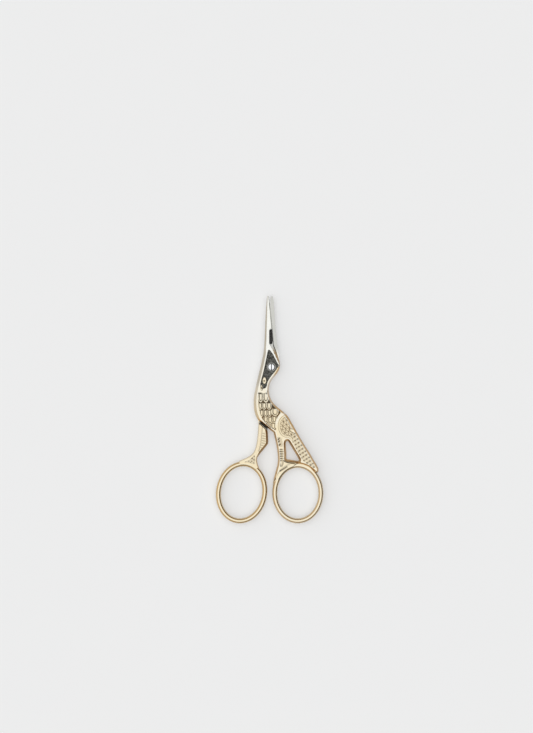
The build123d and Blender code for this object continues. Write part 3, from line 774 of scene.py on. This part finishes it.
# Rear half. The other forging: the lower blade, the neck that passes behind the bird, the left
# leg with its ribbed shin and knee, and the left finger ring. Its blade is turned to show the
# flat inner face, ground bright.
LEFT_CENTRE, LEFT_RADII, LEFT_TILT = (-12.036, -50.554), (8.25, 10.505), 10.0
LEG_TOP = 3.40
rear_right = curve([
    (0.50, 28.40), (0.86, 27.07), (1.08, 25.05), (1.24, 23.03), (1.37, 21.01), (1.48, 18.99),
    (1.59, 16.97), (1.72, 14.95), (1.90, 12.93), (2.14, 10.91), (2.45, 8.89)])
rear_spine = curve([
    (2.45, 8.89), (2.88, 4.85), (3.13, 2.42), (3.13, 0.20), (2.75, -1.21), (1.94, -2.42),
    (0.93, -3.64), (0.00, -4.85), (-0.73, -6.06), (-1.17, -7.68), (-1.35, -9.70),
    (-1.30, -11.72), (-1.18, -14.14), (-1.15, -18.18), (-1.30, -21.82), (-1.62, -25.45)])
thigh = curve([(-1.62, -25.45), (-1.42, -26.66), (-1.33, -28.68), (-1.29, -29.90), (-1.33, -30.91)])
shin = [(-1.33, -30.91), (-2.38, -32.32), (-3.39, -33.53), (-4.22, -34.54), (-5.01, -35.55),
        (-5.60, -36.48), (-5.82, -37.57), (-5.53, -38.99), (-4.95, -40.40)]
calf = [(-13.35, -37.95), (-12.48, -37.61), (-10.67, -36.84), (-8.90, -35.96), (-7.58, -34.82),
        (-6.75, -33.45), (-6.16, -31.51), (-5.84, -29.69), (-5.62, -27.88), (-5.45, -25.86),
        (-5.33, -24.24), (-5.21, -22.62)]
rear_left = curve([
    (-5.21, -22.62), (-5.74, -18.99), (-6.26, -16.56), (-6.42, -13.74), (-6.05, -10.91),
    (-5.21, -7.27), (-4.28, -3.23), (-3.43, 0.81), (-2.50, 4.85), (-1.17, 8.89)])
rear_edge_side = curve([(-1.17, 8.89), (-1.13, 11.31), (-1.05, 13.74), (-0.85, 16.97),
                        (-0.62, 20.60), (-0.50, 23.84), (-0.38, 27.07), (-0.22, 28.40)])
rear_tip = curve([
    (-0.22, 28.40), (-0.08, 28.60), (0.14, 28.66), (0.36, 28.60), (0.50, 28.40)], 0.1)


def ring_angle(point):
    """The angle round the left ring at which a point lies."""
    across, up = turned(point[0] - LEFT_CENTRE[0], point[1] - LEFT_CENTRE[1], -LEFT_TILT)
    return math.degrees(math.atan2(up / LEFT_RADII[1], across / LEFT_RADII[0]))


toe_angle, heel_angle = ring_angle(shin[-1]), ring_angle(calf[0])
left_outer = around_hole(
    LEFT_CENTRE, LEFT_RADII, RING_BAND, LEFT_TILT, toe_angle, heel_angle - 360)
foot_front = curve(shin[:-1] + [left_outer[0]])
foot_back = curve([left_outer[-1]] + calf[1:])
foot_join = around_hole(
    LEFT_CENTRE, LEFT_RADII, UNDER_CROWN, LEFT_TILT, toe_angle + 3, heel_angle - 4)
rear_edge = Edge(chain(rear_right, rear_spine, thigh, foot_front, left_outer, foot_back, rear_left,
                       rear_edge_side, rear_tip))
left_hole = Edge(oval(LEFT_CENTRE, LEFT_RADII, LEFT_TILT)[:-1])
rear_bore = Edge(oval((0, 0), (0.91, 0.91), step=0.1)[:-1])
rear_slab = Edge(chain(
    curve([(1.90, 12.93), (2.14, 10.91), (2.45, 8.89)]), rear_spine, thigh, foot_front,
    curve([foot_front[-1], foot_join[0]]), foot_join, curve([foot_join[-1], foot_back[0]]),
    foot_back, rear_left,
    curve([(-1.17, 8.89), (-1.13, 11.31), (-1.05, 12.93)]), curve([(-1.05, 12.93), (1.90, 12.93)])))
rear_stations = np.array([
    (4.0, 2.90, 2.10, 0.60, -1.40, 1.60), (8.89, 2.45, 1.75, 0.70, -1.17, 1.60),
    (14.95, 1.72, 1.10, 0.35, -1.00, 1.50), (20.6, 1.39, 0.86, 0.10, -0.62, 1.28),
    (27.07, 0.86, 0.58, 0.10, -0.40, 0.88), (28.7, 0.44, 0.30, 0.05, -0.18, 0.72)])
leg_outside = Edge(curve(calf + [(-5.16, -21.9), (-5.1, -21.0)]), close=False)
leg_inside = Edge(chain(thigh, curve(shin[:5])), close=False)
shoulder_line = np.array([(-7.0, -21.25), (-5.86, -21.95), (-4.73, -22.85), (-3.52, -23.88),
                          (-2.30, -24.93), (-1.10, -25.92), (0.5, -27.2)])
fan_field = Edge(closed([(-11.2, -38.35), (-9.3, -37.45), (-7.85, -36.35), (-6.95, -35.45),
                         (-6.50, -36.4), (-6.50, -37.9), (-6.55, -39.2), (-8.2, -38.95),
                         (-9.8, -38.55)]))
fan_pits = [
    (-7.74, -36.80, 0.42), (-6.90, -35.95, 0.30), (-6.96, -37.40, 0.36), (-7.94, -37.96, 0.28),
    (-9.10, -37.95, 0.26), (-7.10, -38.65, 0.26), (-10.3, -38.20, 0.22), (-8.45, -38.45, 0.2)]
# The back's relief lines up with the front's when the scissors are shut, this many degrees on
SHUT_TURN = 2.2


def rear_heights(p):
    """Heights of the rear half's face and back over the points, with the same marks."""
    x, y = p[:, 0], p[:, 1]
    edge, slab = rear_edge.depth(p), rear_slab.depth(p)
    on_slab = slab > 0
    side = leg_outside.gap(p)
    below = (np.interp(x, shoulder_line[:, 0], shoulder_line[:, 1]) - y) * 0.74

    # Leg above the joint face: a smooth band, a ribbed strip, and a pitted fan over the ring
    right = 1 - ramp(leg_inside.gap(p), 1.3, 2.0)
    width = 0.46 + 0.48 * right * (1 - ramp(-y, 33.0, 36.5))
    tall = LEG_TOP - 0.04 - REAR_TOP
    leg = np.minimum(wall(slab, width, tall), wall(np.maximum(below, 0), 0.22, tall))
    plain = ramp(slab, width * 0.9, width + 0.2)
    groove = bead(side, 1.72, 0.15) * (1 - ramp(-y, 33.8, 34.8)) * (below > 0)
    ribs = 0.5 + 0.5 * np.cos((y + 0.20 * x + 26.0) * 2 * math.pi / 0.97)
    strip = ramp(side, 1.80, 1.94) * ramp(slab, width + 0.02, width + 0.20)
    strip *= ramp(-y, 25.9, 26.3) * (1 - ramp(-y, 33.2, 34.4))
    fan = fan_field.field(p, 0.14)
    pits = np.zeros(len(p))
    for px, py, size in fan_pits:
        pits = np.maximum(pits, 1 - ramp(np.hypot(x - px, y - py), 0.3 * size, size))
    ripple = 0.5 + 0.5 * np.sin(x * 7.3 + y * 3.1) * np.sin(y * 7.9 - x * 2.3)
    leg += (0.04 * bead(side, 1.05, 0.6) - 0.11 * groove - 0.12 * (1 - ribs) * strip) * plain
    leg -= (0.05 + 0.07 * (1 - ripple) + 0.12 * pits) * fan
    dirt_and_shade = np.maximum(0.4 * groove * plain, strip * (1 - ribs) * 0.45)
    dirt_and_shade = np.maximum(dirt_and_shade, fan * np.maximum(0.30 * (1 - ripple) + 0.1, pits))

    # Painted shadow: the joint face over the leg's shoulder is painted black, where the bird's
    # breast shades it
    shade = ramp(below, -1.7, -1.2) * (1 - ramp(below, -0.15, 0.0))
    shade = shade * ramp(x, -5.4, -4.4) * (y < -20.5)
    dirt_and_shade = np.maximum(dirt_and_shade, shade)

    # The leg meets the ring's crown, and painted shade lies on the walls of both
    ring, flank, out = ring_height(p, left_hole)
    ring_top = np.where(ring > 0, RING_MIDDLE + ring - REAR_TOP, -1.0)
    crown = RING_MIDDLE + RING_HALF - REAR_TOP
    leg = np.minimum(leg, crown + (tall - crown) * ramp(out, 1.0, 3.0))
    leg = np.where(on_slab & (below > 0), leg, -1.0)
    top = round_max(leg, ring_top, 0.40)
    painted_shade = on_slab * (1 - ramp(slab, width * 0.8, width * 1.05)) * (leg > ring_top)
    # Painted shade darkens the leg's inner wall further
    dirt_and_shade = np.maximum(dirt_and_shade, 0.40 * painted_shade * (1 - ramp(leg_inside.gap(p), 0.8, 1.2)))
    # Painted shade on the leg's outer band, less of it on the lit outer wall
    band = (1 - ramp(side, 1.3, 1.7)) * (below > 0) * (1 - ramp(-y, 33.0, 37.0))
    painted_shade = np.maximum(painted_shade, 0.30 * band)
    painted_shade = painted_shade * (1 - 0.7 * (1 - ramp(side, 0.8, 1.6)))
    painted_shade = np.maximum(painted_shade, 0.85 * flank * (ring_top > leg))

    # Back: the blade's ground side, then polished flat, with the bird's head and neck struck in it
    level, back_dirt_and_shade = bird_relief(np.stack(turned(x, y, -SHUT_TURN), axis=1))
    struck = ramp(slab, 0.55, 0.85) * ramp(-y, -6.2, -5.0) * (1 - ramp(-y, 21.5, 22.5))
    struck = struck * ramp(np.hypot(x, y), 2.0, 2.3)
    under = wall(slab, 0.50, REAR_TOP) + np.minimum(0.6 * level, 0.0) * struck
    under = np.where(on_slab, np.minimum(under, REAR_TOP), -1.0)
    blade = blade_height(p, rear_stations, -1) * np.clip(edge / 0.05, 0, 1)
    onto_blade = ramp(y, 8.4, 9.9)
    ring_under = np.where(ring > 0, np.maximum(ring - (RING_MIDDLE - REAR_TOP), 0), -1.0)
    low = round_max(under, ring_under, 0.40)
    low = np.where(y > 8.3, low * (1 - onto_blade) + blade * onto_blade, low)
    dirt_and_shade = np.maximum(dirt_and_shade, 0.34 * ramp(y, 4.0, 8.0))
    # Gold from the pivot down; a painted highlight whitens the leg and the ring's crown low down
    gilt_and_painted_light = ramp(-y, -2.6, 12.0) * (1 - 0.12 * (1 - flank) * ramp(-y, 22.0, 26.0))
    return (REAR_TOP + np.maximum(top, 0.0), REAR_TOP - np.maximum(low, 0.0), {
        "gilt_and_painted_light": (gilt_and_painted_light * (1 - 0.9 * shade), gilt_and_painted_light), "dirt_and_shade": (dirt_and_shade, 0.8 * back_dirt_and_shade * struck),
        "painted_shade": (painted_shade, 0.4 * painted_shade)})


rear = plate(
    "rear_half_forging", [rear_edge, left_hole, rear_bore], -41.5, rear_heights, REAR_TOP,
    [ridge_line(rear_stations, 2, 10.2, 28.2), ridge_line(rear_stations, 3, 10.2, 28.2)])
rear.data.materials.append(gilt_metal)
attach(rear, "rear")
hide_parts("rear_half")


# Pivot screw. A slotted screw of bright nickel plated steel, turned on a lathe, with a low dome
# and a narrow slot. Its end is peened flush with the back of the rear half.
HEAD_TOP, HEAD_SEAT, HEAD_RADIUS, HEAD_DOME, SHANK_RADIUS = 4.27, 3.65, 1.25, 0.24, 0.89
SLOT_HALF, SLOT_REACH, SLOT_FLOOR, SIDES = 0.17, 1.6, 4.00, 96
STEEL, SLOT_GRIME_AND_SHADE = ((0.70, 0.71, 0.72), (0.80, 0.81, 0.82)), (0.03, 0.03, 0.028)
CORNERS = ((-1, -1), (1, -1), (1, 1), (-1, 1))
profile = [(0.45, 0.01), (0.80, 0.02), (0.87, 0.07), (SHANK_RADIUS, 0.16),
           (SHANK_RADIUS, HEAD_SEAT), (1.17, HEAD_SEAT), (1.23, HEAD_SEAT + 0.04),
           (HEAD_RADIUS, HEAD_SEAT + 0.10), (HEAD_RADIUS, HEAD_SEAT + 0.34)]
profile += [(HEAD_RADIUS * math.sin(a), HEAD_TOP - HEAD_DOME * (1 - math.cos(a)))
            for a in np.radians(np.linspace(84, 6, 18))]
verts, faces = [(0, 0, 0.015)], []
for radius, height in profile:
    verts += [(radius * math.cos(a), radius * math.sin(a), height)
              for a in (np.arange(SIDES) + 0.5) * 2 * math.pi / SIDES]
verts.append((0, 0, HEAD_TOP))
last = 1 + (len(profile) - 1) * SIDES
for k in range(SIDES):
    n = (k + 1) % SIDES
    faces += [(0, 1 + n, 1 + k), (last + k, last + n, len(verts) - 1)]
    faces += [(low + k, low + n, low + SIDES + n, low + SIDES + k) for low in range(1, last, SIDES)]


def solid(name, verts, faces):
    """An object from points in millimetres."""
    mesh = bpy.data.meshes.new(name)
    mesh.from_pydata([tuple(float(c) * MM for c in v) for v in verts], [], faces)
    return linked(name, mesh)


screw = solid("pivot_screw_turned", verts, faces)
slot_box = [(sx * SLOT_HALF, sy * SLOT_REACH, z)
            for z in (SLOT_FLOOR, HEAD_TOP + 0.3) for sx, sy in CORNERS]
cutter = solid(
    "slot_cutter", slot_box,
    [(3, 2, 1, 0), (4, 5, 6, 7), (0, 1, 5, 4), (1, 2, 6, 5), (2, 3, 7, 6), (3, 0, 4, 7)])
cut = screw.modifiers.new("slot", "BOOLEAN")
cut.object, cut.operation, cut.solver = cutter, "DIFFERENCE", "EXACT"
worn = screw.modifiers.new("worn_edge", "BEVEL")
worn.width, worn.segments, worn.limit_method = 0.022 * MM, 2, "ANGLE"
worn.angle_limit = math.radians(40)
bpy.context.view_layer.update()
depsgraph = bpy.context.evaluated_depsgraph_get()
shaped = bpy.data.meshes.new_from_object(screw.evaluated_get(depsgraph))
screw.modifiers.clear()
screw.data = shaped
bpy.data.objects.remove(cutter)
shade_smooth(shaped, 35)
# The slot is painted near black: dirt and painted shade in it
spots = np.array([v.co for v in shaped.vertices]) / MM
in_slot = (np.abs(spots[:, 0]) < SLOT_HALF + 0.005) & (spots[:, 2] > SLOT_FLOOR - 0.01) & (
    spots[:, 2] < HEAD_TOP - 0.05)
mark(shaped, "dirt_and_shade", in_slot)

steel = Shader(bpy.data.materials.new("screw_nickel"))
level_place = steel.node("VectorMath", {"operation": "MULTIPLY"}, {
    0: steel.place(), 1: (1, 1, 0)})
radial = steel.node("VectorMath", {"operation": "LENGTH"}, {0: level_place}, 1)
turning = steel.node("TexNoise", {"noise_dimensions": "1D"}, {
    "W": radial, "Scale": 30000.0})
haze, slot_dirt_and_shade = steel.noise(900.0), steel.attribute("dirt_and_shade")
steel.surface(
    "Principled BSDF", Metallic=1.0,
    Base_Color=steel.mix(slot_dirt_and_shade, steel.mix(haze, *STEEL), SLOT_GRIME_AND_SHADE),
    Roughness=0.08 + 0.08 * haze + 0.3 * slot_dirt_and_shade,
    Normal=steel.bump(0.2, 0.000004, turning))
shaped.materials.append(steel.owner)
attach(screw, "rear")
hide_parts("pivot_screw")


# Studio. A plain pale floor that glows a little, as a light table does, so that shadows stay
# faint, and a soft surround: bright overhead, with more light from the left than the right.
FLOOR_HALF, FLOOR_LEVEL, FLOOR_GLOW = 1200.0, -0.1, 0.31
PAPER = ((0.592, 0.595, 0.595), (0.598, 0.601, 0.601))
# Strengths of the surround: at its sides, lost towards the east, added in the west, overhead,
# and the steepness at which the light from overhead begins and is full
SIDE_LIGHT, EAST_LOSS, WEST_GAIN, TOP_LIGHT, TOP_FROM, TOP_FULL = 0.46, 0.44, 0.18, 1.29, 0.64, 0.80
# The photograph is 733 pixels high at 0.404 mm a pixel, and the camera's aim is its middle
PHOTO_HEIGHT, PIXEL, AIM = 733, 0.404, (-1.98 * MM, 0.20 * MM)
CAMERA_HEIGHT, SENSOR = 1.0, 36.0

floor = solid("floor", [(sx * FLOOR_HALF, sy * FLOOR_HALF, FLOOR_LEVEL) for sx, sy in CORNERS],
              [(0, 1, 2, 3)])
paper = Shader(bpy.data.materials.new("floor_paper"))
paper.surface(
    "Principled BSDF", Roughness=0.85, Emission_Color=(1.0, 1.0, 1.0),
    Emission_Strength=FLOOR_GLOW, Base_Color=paper.mix(paper.noise(60.0, 3.0), *PAPER))
floor.data.materials.append(paper.owner)

world = bpy.data.worlds.new("surround")
bpy.context.scene.world = world
air = Shader(world)
way = air.node("TexCoord", output=0)
east, height = [air.node("SeparateXYZ", inputs={0: way}, output=k) for k in (0, 2)]
overhead = air.node("MapRange", {"interpolation_type": "SMOOTHSTEP"},
                    {0: height, 1: TOP_FROM, 2: TOP_FULL})
around = SIDE_LIGHT - EAST_LOSS * east + WEST_GAIN * (0.0 - east).maths("MAXIMUM", 0.0)
air.surface(
    "Background", Color=(1.0, 1.0, 1.0), Strength=around + (TOP_LIGHT - around) * overhead)

view = bpy.data.cameras.new("camera")
view.sensor_fit, view.sensor_height, view.sensor_width = "VERTICAL", SENSOR, SENSOR
view.lens = SENSOR * CAMERA_HEIGHT / (PHOTO_HEIGHT * PIXEL * MM)
view.clip_start, view.clip_end = 0.02, 10.0
eye = linked("camera", view)
eye.location = (*AIM, CAMERA_HEIGHT)
bpy.context.scene.camera = eye
bpy.context.scene.view_settings.view_transform = "Standard"
